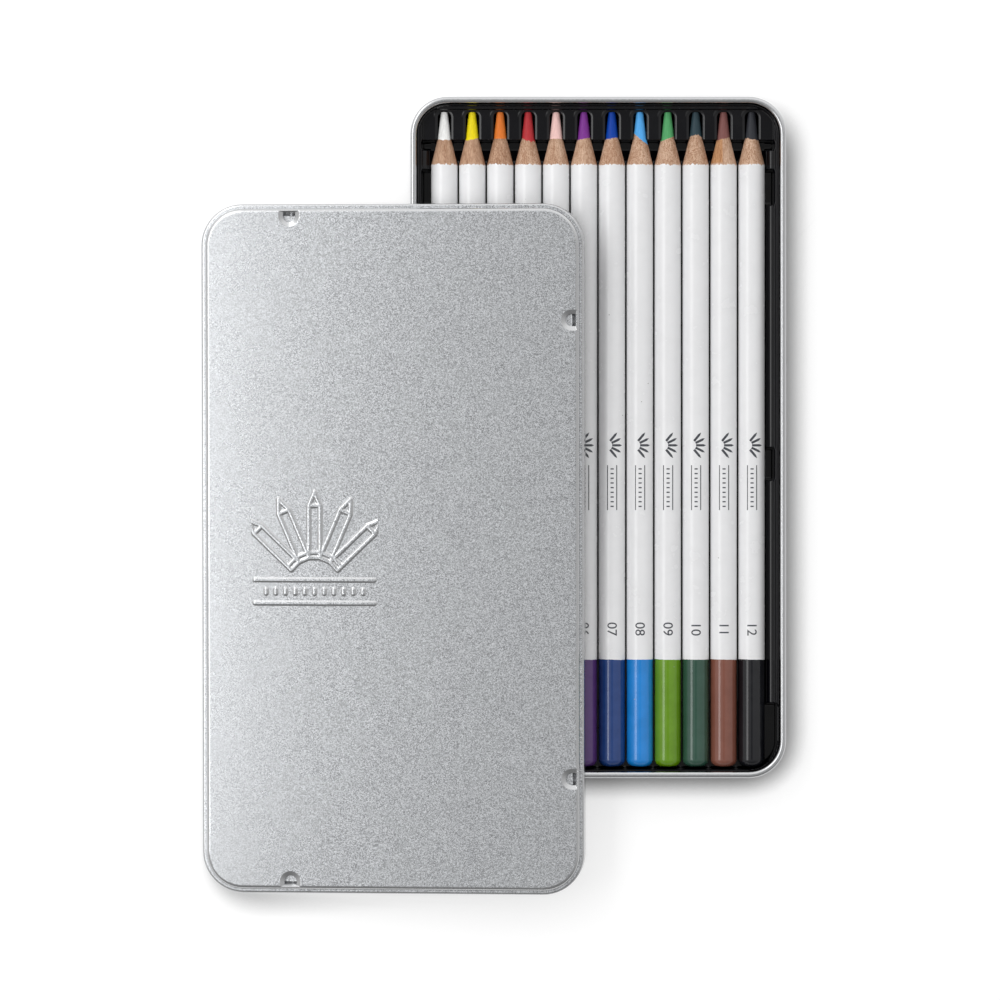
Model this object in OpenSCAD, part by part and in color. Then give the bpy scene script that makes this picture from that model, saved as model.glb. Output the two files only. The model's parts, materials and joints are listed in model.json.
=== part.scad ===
// Slip-lid tin of round colored pencils: a drawn tinplate base with a curled rim,
// a formed plastic tray, twelve sharpened pencils, and the lid laid across the base.
// Millimetres. The origin is the middle of the tin's underside, +Y towards the points.
// The pencils set the size of the tray, the tray that of the base, the base that of the lid.

/* [Pencils] */
// Number of pencils, one groove for each
pencil_count = 12; // [10:2:12]
// Diameter over the lacquer
pencil_d = 7.1; // [6.6:0.1:8]
// Overall length
pencil_l = 175.4; // [150:0.2:190]
// Space between neighbouring pencils
pencil_space = 0.37; // [0.35:0.01:0.8]
// Diameter of the colored core
core_d = 3.6; // [2.8:0.1:3.8]
// Diameter of the blunted point
blunt_d = 1.9; // [0.6:0.1:2.2]
// Rounding of the blunted point's edge
blunt_r = 0.2; // [0.1:0.05:0.3]
// Length of the core that shows
core_show = 7.6; // [6.4:0.1:9]
// Length of the cut wood
wood_show = 7.1; // [6:0.1:8]
// Thickness of the lacquer and of the dipped end
lacquer_t = 0.15; // [0.1:0.01:0.25]
// Length of the dipped end
dip_l = 28.5; // [15:0.5:50]
// Rounding of the dipped end
dip_r = 1.9; // [0.8:0.1:2]

/* [Tray grooves] */
// Thickness of the formed plastic
tray_t = 0.35; // [0.25:0.05:0.4]
// Play round a pencil in its groove
groove_gap = 0.12; // [0.08:0.02:0.2]
// Height of the grooves' underside above the foot of the tray's skirt
groove_lift = 0.1; // [0.05:0.05:1]
// Space behind the blunt ends
blunt_gap = 0.8; // [0.5:0.1:2]

/* [Tray cradles] */
// Top of the ridges between grooves below the pencils' axes
ridge_drop = 1.55; // [1.4:0.05:2]
// Run of the steep ends of the ridges
ridge_end_l = 0.6; // [0.4:0.1:1]
// Run of the long slope of the ridges towards the points
ridge_slope_l = 3.2; // [1.5:0.1:3.5]
// Flat width of the channel between the nests and the first cradle
channel_l = 2.2; // [1:0.1:3]
// Length of the short cradle behind that channel
short_cradle_l = 5.6; // [5.2:0.1:7]
// Length of the cross channel behind the short cradle
front_channel_l = 9.1; // [4:0.1:12]
// Length of the cross channel between the two long cradles
middle_channel_l = 8.3; // [4:0.1:12]
// Length of the rear cradle
rear_cradle_l = 60; // [50:0.5:64]
// Length of the open well under the blunt ends
end_well_l = 17.5; // [12:0.5:24]

/* [Tray nests] */
// Space in front of the points
point_gap = 0.2; // [0.2:0.1:1]
// Length of the nests
nest_l = 8.4; // [7:0.2:9]
// Width of a point's nest
nest_w = 4.7; // [4.5:0.1:5]
// Width of the lip round a nest
nest_lip_w = 6.1; // [5.4:0.1:6.4]
// Depth of the lip round a nest
nest_lip_depth = 0.6; // [0.4:0.1:0.8]
// Corner radius of a nest
nest_corner_r = 1.6; // [1:0.1:2]
// Depth of a nest below the pencils' axes
nest_depth = 2.7; // [2.5:0.1:3]

/* [Tray shelves] */
// Width of the flange along the long sides and the point end
flange_w = 0.9; // [0.7:0.1:1.4]
// Drop from the top of the rim to the flange
flange_drop = 0.9; // [0.6:0.1:1.2]
// Width of the upper shelf along the long sides
upper_shelf_w = 1; // [0.6:0.1:2]
// Width of the upper shelf at the point end
end_shelf_w = 0.55; // [0.4:0.05:1.5]
// Drop from the flange to the upper shelf
upper_shelf_drop = 1.3; // [0.8:0.1:1.6]
// Width of the lower shelf along the long sides
lower_shelf_w = 1.7; // [1:0.1:3]
// Rounding of the lower shelf's edge over the outer pencils
shelf_edge_r = 1.6; // [0.5:0.1:2]
// Height of the lower shelf above the pencils' axes
lower_shelf_rise = 1.3; // [0.8:0.1:1.6]

/* [Tin base] */
// Play between the tray and the tin
tray_gap = 0.1; // [0.05:0.05:0.3]
// Height of the rim above the tops of the pencils
head_room = 1.3; // [1.1:0.1:3]
// Thickness of the tinplate
sheet_t = 0.3; // [0.2:0.02:0.36]
// Corner radius over the curled rim
corner_r = 10; // [8:0.5:14]
// Outer diameter of the curled rim
curl_d = 1.7; // [1.5:0.1:2]
// Gap left between the end of the curl and the wall
curl_gap = 0.25; // [0.15:0.05:0.4]
// Outside bend radius between the floor and the wall
foot_r = 1.5; // [0.8:0.1:2.5]

/* [Lid] */
// Play between the lid's hem and the base's rim, each side
slip_gap = 0.25; // [0.15:0.05:0.6]
// Outer diameter of the lid's inward hem
hem_d = 0.8; // [0.75:0.05:1]
// Height of the skirt from its lower edge to the ledge
skirt_h = 5.3; // [4.6:0.1:6.4]
// Height of the raised panel above the ledge
step_h = 1.2; // [1:0.1:1.6]
// Width of the ledge round the raised panel
ledge_w = 1.15; // [0.9:0.05:1.3]
// Outside radius between the skirt and the ledge
ledge_r = 0.65; // [0.5:0.05:0.9]
// Radius of the raised panel's shoulder
shoulder_r = 1.1; // [0.6:0.1:1.2]

/* [Lid dimples] */
// Radius of the dished ring of a dimple
dish_r = 2.8; // [2.2:0.1:3.4]
// Depth of the dished ring where it meets the pocket
dish_depth = 0.5; // [0.3:0.05:0.8]
// Radius of the pocket in the middle of a dimple
pocket_r = 1.6; // [1.2:0.1:1.9]
// Depth of the pocket below the panel
pocket_depth = 1.5; // [1.1:0.1:1.8]
// Play between a pocket and the rim that it hooks behind
hook_gap = 0.15; // [0.1:0.05:0.4]
// Width of the slope from a pocket's bottom to the panel's edge
pocket_slope_w = 1.5; // [1.2:0.1:1.6]
// Distance from the lid's left edge to the dimples of the short sides
dimple_from_side = 23.8; // [18:0.2:40]
// Distance from the lid's ends to the dimples of the right side
dimple_from_end = 31; // [20:0.5:50]

/* [Lid at rest] */
// Space between the lid's edge and the first pencil left clear
clear_space = 3.5; // [1:0.1:4]
// Length of the base that shows past the lid at the points
points_show = 28.7; // [24:0.1:36]
// Clearance where the lid rests on the rim and on the table
rest_gap = 0.2; // [0.15:0.05:0.4]

/* [Hidden] */
$fn = 64;
eps = 0.02;             // how far a cut passes a face
sloped_past = 1;        // how far a sloped cut passes a face, measured upright
past = 20;              // how far a cut passes the top of a piece

core_colors = ["white", "gold", "darkorange", "firebrick", "pink", "darkorchid",
    "mediumblue", "deepskyblue", "mediumseagreen", "darkslategray", "sienna", "dimgray"];
dip_colors = ["whitesmoke", "yellow", "orangered", "red", "lightpink", "indigo",
    "midnightblue", "dodgerblue", "yellowgreen", "darkgreen", "saddlebrown", "black"];

function two_digits(i) = str(i < 10 ? "0" : "", i);
function pencil_name(i, piece) = str("pencil_", two_digits(i), "_", piece);

// The tray's skirt stands on the bend between the tin's floor and wall
bend_r = foot_r - sheet_t;
seat_reach = bend_r - tray_gap;
tray_foot_z = foot_r - sqrt(bend_r * bend_r - seat_reach * seat_reach) + tray_gap;

// Pencils and their grooves
pencil_r = pencil_d / 2;
wood_r = pencil_r - lacquer_t;
pitch = pencil_d + pencil_space;
groove_r = pencil_r + groove_gap;
groove_z = tray_foot_z + groove_lift + tray_t;
axis_z = groove_z + groove_r;
well_w = (pencil_count - 1) * pitch + 2 * groove_r;
function pencil_x(i) = (i - (pencil_count + 1) / 2) * pitch;

// Stations of the point along a pencil, counted from its blunt end
cone_slope = (pencil_r - core_d / 2) / wood_show;
core_end = pencil_l - core_show;
paint_end = core_end - wood_show;
wood_shoulder = paint_end + lacquer_t / cone_slope;

// Plan of the tray
lower_w = well_w + 2 * lower_shelf_w;
upper_w = lower_w + 2 * upper_shelf_w;
tray_w = upper_w + 2 * flange_w;
tray_l = tray_t + blunt_gap + pencil_l + point_gap + end_shelf_w + flange_w;
tray_end_y = -tray_l / 2 + tray_t;
blunt_y = tray_end_y + blunt_gap;
nest_end_y = tray_l / 2 - flange_w - end_shelf_w;
nest_start_y = nest_end_y - nest_l;
channel_y = nest_start_y - channel_l;

// Cradles and the channels between them, from the blunt ends to the nests
rear_y = tray_end_y + end_well_l;
middle_y = rear_y + rear_cradle_l;
front_y = middle_y + middle_channel_l;
short_y = channel_y - short_cradle_l;
// Each cradle's two ends and the runs of its ridges there
cradles = [
    [rear_y, middle_y, ridge_end_l, ridge_end_l],
    [front_y, short_y - front_channel_l, ridge_end_l, ridge_end_l],
    [short_y, channel_y, ridge_end_l, ridge_slope_l]];
// Each channel's two ends and its width, the first one open under the blunt ends
channels = [
    [tray_end_y, rear_y, upper_w],
    [middle_y, front_y, lower_w],
    [short_y - front_channel_l, short_y, lower_w],
    [channel_y, nest_start_y, lower_w]];

// Base tin round the tray
inside_w = tray_w + 2 * tray_gap;
inside_l = tray_l + 2 * tray_gap;
inside_r = corner_r - curl_d;
tin_w = inside_w + 2 * curl_d;
tin_l = inside_l + 2 * curl_d;
tin_h = axis_z + pencil_r + head_room;

// Levels of the tray
tray_r = inside_r - tray_gap;
flange_z = tin_h - flange_drop;
upper_shelf_z = flange_z - upper_shelf_drop;
lower_shelf_z = axis_z + lower_shelf_rise;
shelf_edge = min(shelf_edge_r, lower_shelf_w);
ridge_z = axis_z - ridge_drop;
nest_z = axis_z - nest_depth;

// Lid, whose hem slips over the curled rim
lid_w = tin_w + 2 * (slip_gap + hem_d);
lid_l = tin_l + 2 * (slip_gap + hem_d);
lid_r = corner_r + slip_gap + hem_d;
lid_h = skirt_h + step_h;
dimple_inset = hem_d + slip_gap + curl_d + sheet_t + hook_gap;

// Place of the lid's middle, half the pencils under it
clear_edge_x = pencil_x(pencil_count / 2 + 1) - pencil_r - clear_space;
lid_x = clear_edge_x - lid_w / 2;
lid_y = tin_l / 2 - points_show - lid_l / 2;

// The hem crosses the rim on the left and at the blunt ends, and the lid leans
// over the line between the two until its low corner meets the table
left_cross = [-(tin_w - curl_d) / 2, lid_y + (lid_l - hem_d) / 2];
low_cross = [lid_x + (lid_w - hem_d) / 2, -(tin_l - curl_d) / 2];
cross_dir = (low_cross - left_cross) / norm(low_cross - left_cross);
lean_dir = [cross_dir[1], -cross_dir[0]];
low_corner = [lid_x - lid_w / 2 + lid_r, lid_y - lid_l / 2 + lid_r];
lean_reach = (low_corner - left_cross) * lean_dir + lid_r;
lean = asin(tin_h / lean_reach);

// ---- shared shapes ----

// Rectangle with round corners, centred
module round_rect(w, l, r) {
    square([w - 2 * r, l], center = true);
    square([w, l - 2 * r], center = true);
    for (sx = [-1, 1])
        for (sy = [-1, 1])
            translate([sx * (w / 2 - r), sy * (l / 2 - r)])
                circle(r);
}

module round_block(w, l, r, z0, z1) {
    translate([0, 0, z0])
        linear_extrude(z1 - z0)
            round_rect(w, l, r);
}

// Runs a section round a rectangle with round corners.
// The section's x is counted outwards from the middle of a corner.
module run_round(w, l, r) {
    for (turn = [0 : 3])
        rotate(90 * turn) {
            side = turn % 2 == 0 ? l : w;
            reach = turn % 2 == 0 ? w : l;
            translate([reach / 2 - r, side / 2 - r, 0]) {
                rotate([90, 0, 0])
                    linear_extrude(side - 2 * r)
                        children();
                rotate_extrude(angle = 90)
                    children();
            }
        }
}

// Section of a thin tube
module ring(d, t) {
    difference() {
        circle(d / 2);
        circle(d / 2 - t);
    }
}

// ---- tin base ----

// Floor, bend, wall and a curl that stays open under the rim
module base_section() {
    bend_x = inside_r + sheet_t - foot_r;
    curl_z = tin_h - curl_d / 2;
    square([bend_x, sheet_t]);
    translate([bend_x, foot_r])
        intersection() {
            ring(2 * foot_r, sheet_t);
            translate([0, -foot_r])
                square(foot_r);
        }
    translate([inside_r, foot_r])
        square([sheet_t, curl_z - foot_r]);
    translate([inside_r + curl_d / 2, curl_z])
        difference() {
            ring(curl_d, sheet_t);
            translate([-curl_d / 2 - eps, -curl_d])
                square([sheet_t + curl_gap + eps, curl_d]);
        }
}

module base_tin() {
    color("silver") {
        run_round(inside_w, inside_l, inside_r)
            base_section();
        linear_extrude(sheet_t)
            square([inside_w - 2 * inside_r, inside_l - 2 * inside_r], center = true);
    }
}

// ---- tray ----
// The tray is the skin between a hollow and the same hollow grown by its thickness g.

// Shelves, well, channels, grooves and nests, all inside the skirt
module tray_hollow(g) {
    skirt_t = tray_t - g;
    intersection() {
        round_block(tray_w - 2 * skirt_t, tray_l - 2 * skirt_t, tray_r - skirt_t,
            0, tin_h + past);
        union() {
            shelf_hollow(upper_w + 2 * g, tray_l / 2 - flange_w + g,
                tray_r - flange_w + g, upper_shelf_z - g);
            shelf_hollow(lower_w + 2 * g, nest_end_y + g, nest_corner_r + g,
                lower_shelf_z - g);
            for (channel = channels)
                translate([-channel[2] / 2 - g, channel[0] - g, groove_z - g])
                    cube([channel[2] + 2 * g, channel[1] - channel[0] + 2 * g, tin_h + past]);
            well_hollow(g);
            shelf_edge_hollow(g);
            for (i = [1 : pencil_count])
                translate([pencil_x(i), 0, 0]) {
                    translate([0, tray_end_y - g, axis_z])
                        rotate([-90, 0, 0])
                            cylinder(r = groove_r + g, h = nest_start_y - tray_end_y + 2 * g);
                    nest_slot(nest_w, nest_z, g);
                    nest_slot(nest_lip_w, lower_shelf_z - nest_lip_depth, g);
                }
        }
    }
}

// Room above a shelf, from behind the blunt ends to y1 at the points
module shelf_hollow(w, y1, r, z) {
    l = y1 + tray_l / 2;
    translate([0, y1 - l / 2, 0])
        round_block(w, l, r, z, tin_h + past);
}

// Room over the ridges of the cradles
module well_hollow(g) {
    top_z = tin_h + past;
    rotate([90, 0, 90])
        translate([0, 0, -well_w / 2 - g])
            linear_extrude(well_w + 2 * g)
                polygon(concat(
                    [[tray_end_y - g, top_z], [tray_end_y - g, groove_z - g]],
                    [for (c = cradles)
                        each [
                            [c[0] + g, groove_z - g],
                            [c[0] + c[2] + g, ridge_z - g],
                            [c[1] - c[3] - g, ridge_z - g],
                            [c[1] - g, groove_z - g]]],
                    [[nest_start_y + g, groove_z - g], [nest_start_y + g, top_z]]));
}

// Room over the lower shelf's round edge, beside the cradles
module shelf_edge_hollow(g) {
    for (side = [0, 1])
        mirror([side, 0, 0])
            translate([well_w / 2, channel_y, lower_shelf_z - shelf_edge])
                rotate([90, 0, 0])
                    linear_extrude(channel_y - rear_y)
                        difference() {
                            translate([-eps, 0])
                                square([shelf_edge + eps, shelf_edge + eps]);
                            translate([shelf_edge, 0])
                                circle(shelf_edge - g);
                        }
}

// Slot from the channel to the end of the nests, rounded at that end
module nest_slot(w, z, g) {
    slot_w = w + 2 * g;
    slot_l = nest_l + g;
    slot_r = nest_corner_r + g;
    translate([0, nest_start_y, z - g])
        linear_extrude(tin_h + past - z)
            union() {
                translate([-slot_w / 2, -eps])
                    square([slot_w, slot_l - slot_r + eps]);
                translate([-slot_w / 2 + slot_r, 0])
                    square([slot_w - 2 * slot_r, slot_l]);
                for (side = [-1, 1])
                    translate([side * (slot_w / 2 - slot_r), slot_l - slot_r])
                        circle(slot_r);
            }
}

module tray_insert() {
    color([0.1, 0.1, 0.11])
        difference() {
            round_block(tray_w, tray_l, tray_r, tray_foot_z, flange_z);
            tray_hollow(0);
            difference() {
                round_block(tray_w - 2 * tray_t, tray_l - 2 * tray_t, tray_r - tray_t,
                    tray_foot_z - eps, flange_z - tray_t);
                tray_hollow(tray_t);
            }
        }
}

// ---- lid ----
// The sheet is the skin between the stepped form and the same form shrunk by g.

// Half section with a round upper corner
module crowned_section(x, z0, z1, r) {
    translate([0, z0])
        square([x, z1 - r - z0]);
    translate([0, z0])
        square([x - r, z1 - z0]);
    translate([x - r, z1 - r])
        circle(r);
}

module lid_form(z0, g) {
    run_round(lid_w, lid_l, lid_r)
        union() {
            crowned_section(lid_r - g, z0, skirt_h - g, ledge_r - g);
            crowned_section(lid_r - ledge_w - g, z0, lid_h - g, shoulder_r - g);
        }
    translate([0, 0, z0])
        linear_extrude(lid_h - g - z0)
            square([lid_w - 2 * lid_r, lid_l - 2 * lid_r], center = true);
}

// Half-round trough that opens towards +Y, widening upwards
module trough(r_low, r_high, h) {
    cylinder(h = h, r1 = r_low, r2 = r_high);
    rotate([90, 0, 180])
        linear_extrude(past)
            polygon([[-r_low, 0], [r_low, 0], [r_high, h], [-r_high, h]]);
}

// Dished ring and pocket, closed towards the edge by a slope that clears the rim
module dimple_hollow(g) {
    low_z = lid_h - pocket_depth;
    slope = pocket_slope_w / pocket_depth;
    grown = g * norm([pocket_slope_w, pocket_depth]) / pocket_depth;
    widen = (dish_r - pocket_r) / dish_depth;
    intersection() {
        union() {
            translate([0, 0, lid_h - dish_depth - g])
                trough(pocket_r + g, dish_r + g + widen * (g + eps), dish_depth + g + eps);
            translate([0, 0, low_z - g])
                trough(pocket_r + g, pocket_r + g, pocket_depth + g);
        }
        rotate([90, 0, 90])
            translate([0, 0, -past / 2])
                linear_extrude(past)
                    polygon([
                        [-past, low_z - sloped_past],
                        [grown - slope * sloped_past, low_z - sloped_past],
                        [grown + slope * (pocket_depth + sloped_past), lid_h + sloped_past],
                        [-past, lid_h + sloped_past]]);
    }
}

module each_dimple() {
    for (end = [0, 1])
        mirror([0, end, 0]) {
            translate([dimple_from_side - lid_w / 2, lid_l / 2 - dimple_inset, 0])
                children();
            translate([lid_w / 2 - dimple_inset, lid_l / 2 - dimple_from_end, 0])
                rotate(-90)
                    children();
        }
}

// Inward curl along the skirt's lower edge, open towards the wall
module hem_section() {
    translate([lid_r - hem_d / 2, hem_d / 2])
        difference() {
            ring(hem_d, sheet_t);
            square([hem_d / 2 - sheet_t, hem_d]);
        }
}

module lid_flat() {
    difference() {
        lid_form(hem_d / 2, 0);
        each_dimple()
            dimple_hollow(0);
        difference() {
            lid_form(0, sheet_t);
            each_dimple()
                dimple_hollow(sheet_t);
        }
    }
    run_round(lid_w, lid_l, lid_r)
        hem_section();
}

module lid() {
    color("lightgray")
        translate([left_cross[0], left_cross[1], tin_h + rest_gap])
            rotate(a = lean, v = [cross_dir[0], cross_dir[1], 0])
                translate([lid_x - left_cross[0], lid_y - left_cross[1], 0])
                    lid_flat();
}

// ---- pencils ----

// Half section of a bar from the ground to l, with a rounded lower edge
module blunt_bar(r, l, edge_r) {
    translate([0, edge_r])
        square([r, l - edge_r]);
    square([r - edge_r, edge_r + eps]);
    translate([r - edge_r, edge_r])
        intersection() {
            circle(edge_r);
            translate([0, -edge_r])
                square([edge_r, edge_r + eps]);
        }
}

// Turns a half section into a body lying in groove i, its ground at the blunt end
module turned(i) {
    translate([pencil_x(i), blunt_y, axis_z])
        rotate([-90, 0, 0])
            rotate_extrude()
                children();
}

module core(i) {
    flat_r = blunt_d / 2 - blunt_r;
    color(core_colors[i - 1])
        turned(i)
            union() {
                polygon([
                    [0, lacquer_t],
                    [core_d / 2, lacquer_t],
                    [core_d / 2, core_end],
                    [blunt_d / 2, pencil_l - blunt_r],
                    [flat_r, pencil_l - blunt_r],
                    [flat_r, pencil_l],
                    [0, pencil_l]]);
                translate([flat_r, pencil_l - blunt_r])
                    circle(blunt_r);
            }
}

module wood(i) {
    color("burlywood")
        turned(i)
            difference() {
                union() {
                    translate([0, lacquer_t])
                        blunt_bar(wood_r, wood_shoulder - lacquer_t, dip_r - lacquer_t);
                    polygon([
                        [0, wood_shoulder - eps],
                        [wood_r, wood_shoulder - eps],
                        [wood_r, wood_shoulder],
                        [core_d / 2, core_end],
                        [0, core_end]]);
                }
                square([core_d / 2, pencil_l]);
            }
}

module lacquer(i) {
    color("white")
        turned(i)
            polygon([
                [wood_r, dip_l],
                [pencil_r, dip_l],
                [pencil_r, paint_end],
                [wood_r, wood_shoulder]]);
}

module dip(i) {
    color(dip_colors[i - 1])
        turned(i)
            difference() {
                blunt_bar(pencil_r, dip_l, dip_r);
                translate([0, lacquer_t])
                    blunt_bar(wood_r, dip_l, dip_r - lacquer_t);
            }
}

base_tin();
tray_insert();
lid();
for (i = [1 : pencil_count]) {
    core(i);
    wood(i);
    lacquer(i);
    dip(i);
}
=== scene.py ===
# Finishes, printing and studio for a slip-lid tin of colored pencils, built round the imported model.
import json
import math
import random
from types import SimpleNamespace

import bmesh
import bpy
import numpy as np
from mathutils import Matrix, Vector

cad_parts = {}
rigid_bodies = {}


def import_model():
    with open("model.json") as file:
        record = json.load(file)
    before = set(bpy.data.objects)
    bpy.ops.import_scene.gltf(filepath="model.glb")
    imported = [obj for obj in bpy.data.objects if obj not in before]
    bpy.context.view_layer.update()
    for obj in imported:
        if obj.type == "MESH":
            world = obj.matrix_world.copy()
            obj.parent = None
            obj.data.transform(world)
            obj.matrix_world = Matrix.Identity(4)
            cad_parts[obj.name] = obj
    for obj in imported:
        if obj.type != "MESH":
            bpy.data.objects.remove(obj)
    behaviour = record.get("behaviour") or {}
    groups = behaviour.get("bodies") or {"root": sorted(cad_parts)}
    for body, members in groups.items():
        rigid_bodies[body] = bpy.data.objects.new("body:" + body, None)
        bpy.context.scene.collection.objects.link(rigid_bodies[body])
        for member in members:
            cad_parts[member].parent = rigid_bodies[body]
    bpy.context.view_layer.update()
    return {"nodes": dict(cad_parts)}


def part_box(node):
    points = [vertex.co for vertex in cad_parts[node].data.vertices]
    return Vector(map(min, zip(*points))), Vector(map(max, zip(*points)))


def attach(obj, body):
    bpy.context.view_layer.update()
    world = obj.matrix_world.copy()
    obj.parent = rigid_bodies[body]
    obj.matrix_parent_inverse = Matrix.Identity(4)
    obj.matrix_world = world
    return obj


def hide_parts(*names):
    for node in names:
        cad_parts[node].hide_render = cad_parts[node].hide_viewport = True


for leftover in list(bpy.data.objects):
    bpy.data.objects.remove(leftover)

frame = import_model()
nodes = frame["nodes"]
mm = 0.001  # the row frame is in metres, sizes here are millimetres
pencilCount = 12


def addObject(name, data):
    obj = bpy.data.objects.new(name, data)
    bpy.context.scene.collection.objects.link(obj)
    return obj


# camera

camera = {
    "lens": 200,  # a long lens, straight down
    "sensor": 36,
    "aim": (-26.2, -16.7),
    "fieldWidth": 266.7,  # what the picture spans at the height of the tin's rim
    "rimHeight": 10,
    "reach": 100,  # how far it sees, in metres
}


def makeCamera():
    data = bpy.data.cameras.new("camera")
    data.lens = camera["lens"]
    data.sensor_width = camera["sensor"]
    data.clip_end = camera["reach"]
    distance = camera["fieldWidth"] * camera["lens"] / camera["sensor"]
    obj = addObject("camera", data)
    obj.location = Vector((*camera["aim"], camera["rimHeight"] + distance)) * mm
    bpy.context.scene.camera = obj


# node helpers

def fromScreen(red, green, blue):
    # a color as seen on screen, 0 to 255, in linear light
    def linear(part):
        part = part / 255
        return part / 12.92 if part <= 0.04045 else ((part + 0.055) / 1.055) ** 2.4
    return (linear(red), linear(green), linear(blue), 1)


def fill(tree, node, values):
    # a value that is a socket is linked, anything else is set on the node's own socket
    for key, value in values.items():
        if isinstance(value, bpy.types.NodeSocket):
            tree.links.new(value, node.inputs[key])
        else:
            node.inputs[key].default_value = value


def addNode(tree, kind, values=None, **settings):
    node = tree.nodes.new("ShaderNode" + kind)
    for key, value in settings.items():
        setattr(node, key, value)
    fill(tree, node, values or {})
    return node


def calc(tree, operation, first, second=0.0, third=0.0, clamp=False):
    values = {0: first, 1: second, 2: third}
    return addNode(tree, "Math", values, operation=operation, use_clamp=clamp).outputs[0]


def vectorCalc(tree, operation, first, second=(0, 0, 0)):
    node = addNode(tree, "VectorMath", {0: first, 1: second}, operation=operation)
    return node.outputs["Value" if operation in ("LENGTH", "DOT_PRODUCT") else "Vector"]


def remap(tree, value, low, high, toLow=0.0, toHigh=1.0):
    values = {"Value": value, "From Min": low, "From Max": high, "To Min": toLow, "To Max": toHigh}
    return addNode(tree, "MapRange", values, interpolation_type="SMOOTHSTEP").outputs[0]


def mixColor(tree, factor, first, second, blend="MIX"):
    values = {0: factor, 6: first, 7: second}
    return addNode(tree, "Mix", values, data_type="RGBA", blend_type=blend).outputs[2]


def noise(tree, vector, scale, detail=2.0, roughness=0.5):
    values = {"Vector": vector, "Scale": scale, "Detail": detail, "Roughness": roughness}
    return addNode(tree, "TexNoise", values).outputs[0]


def stretched(tree, vector, scale):
    return vectorCalc(tree, "MULTIPLY", vector, scale)


def component(tree, vector, index):
    return addNode(tree, "SeparateXYZ", {0: vector}).outputs[index]


def openGroup(name, inputs, outputs):
    group = bpy.data.node_groups.new(name, "ShaderNodeTree")
    for label, kind in inputs.items():
        group.interface.new_socket(name=label, in_out="INPUT", socket_type="NodeSocket" + kind)
    for label, kind in outputs.items():
        group.interface.new_socket(name=label, in_out="OUTPUT", socket_type="NodeSocket" + kind)
    source = group.nodes.new("NodeGroupInput")
    target = group.nodes.new("NodeGroupOutput")
    return group, source.outputs, target


def placeGroup(tree, group, values):
    return addNode(tree, "Group", values, node_tree=group).outputs


def openMaterial(name, finish):
    # finish holds values that are the same all over, set on the shader's own sockets
    material = bpy.data.materials.new(name)
    material.use_nodes = True
    tree = material.node_tree
    shader = tree.nodes["Principled BSDF"]
    fill(tree, shader, finish)
    return material, tree, shader


def objectSpace(tree):
    # the mesh's own coordinates, which are the row frame at rest, in millimetres
    place = addNode(tree, "TexCoord").outputs["Object"]
    return stretched(tree, place, (1 / mm, 1 / mm, 1 / mm))


def shade(color, factor, lift=0.0):
    # a linear color made darker or lighter
    return tuple(min(1, part * factor + lift) for part in color[:3]) + (1,)


def addBump(tree, shader, height, depth):
    # depth in millimetres
    values = {"Strength": 1.0, "Distance": depth * mm, "Height": height}
    fill(tree, shader, {"Normal": addNode(tree, "Bump", values).outputs[0]})


def dress(obj, material):
    obj.data.materials.clear()
    obj.data.materials.append(material)


# shared effects

# scales are per millimetre
handling = {
    "smudgeDetail": (3.0, 0.6),
    "smudgeRange": (0.35, 0.7),
    "speckScale": 0.55,  # places where there may be a speck
    "speckEdge": (0.05, 0.1),
}

raggedEdge = {
    "detail": (2.5, 0.65),
}

woodGrain = {  # scale, detail, range and share of each layer
    "band": ((0.55, 0.05, 0.55), (2.0, 0.5), (0.3, 0.7), 0.4),
    "line": ((3.2, 0.16, 3.2), (3.0, 0.7), (0.38, 0.64), 0.5),
    "pore": ((5.0, 2.4, 5.0), (1.0, 0.5), (0.52, 0.64), 0.9),
}


def makeGrainGroup():
    # crisp, even speckle of matt tinplate: each small cell a little lighter or darker
    group, source, target = openGroup(
        "tinGrain", {"Place": "Vector", "Grain Size": "Float"}, {"Shade": "Float"})
    scale = calc(group, "DIVIDE", 1.0, source["Grain Size"])
    cells = addNode(group, "TexVoronoi", {"Vector": source["Place"], "Scale": scale})
    tone = addNode(group, "SeparateColor", {0: cells.outputs["Color"]}).outputs[0]
    fill(group, target, {"Shade": tone})
    return group


def makeHandlingGroup():
    # slow, uneven handling marks, and small specks of dust
    group, source, target = openGroup(
        "handling", {"Place": "Vector", "Size": "Float", "Specks": "Float"},
        {"Smudge": "Float", "Speck": "Float"})
    scale = calc(group, "DIVIDE", 1.0, source["Size"])
    slow = noise(group, source["Place"], scale, *handling["smudgeDetail"])
    values = {"Vector": source["Place"], "Scale": handling["speckScale"]}
    cells = addNode(group, "TexVoronoi", values)
    near = remap(group, cells.outputs["Distance"], *handling["speckEdge"], 1.0, 0.0)
    chosen = addNode(group, "SeparateColor", {0: cells.outputs["Color"]}).outputs[0]
    kept = calc(group, "LESS_THAN", chosen, source["Specks"])
    fill(group, target, {"Smudge": remap(group, slow, *handling["smudgeRange"]),
                         "Speck": calc(group, "MULTIPLY", near, kept)})
    return group


def makePencilSpaceGroup():
    # a pencil's own coordinates: along it from the tin's middle, and the direction round its axis
    group, source, target = openGroup(
        "pencilSpace", {"Axis": "Vector"}, {"Local": "Vector", "Along": "Float", "Around": "Vector"})
    local = vectorCalc(group, "SUBTRACT", objectSpace(group), source["Axis"])
    around = vectorCalc(group, "NORMALIZE", stretched(group, local, (1, 0, 1)))
    fill(group, target, {"Local": local, "Along": component(group, local, 1), "Around": around})
    return group


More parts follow.
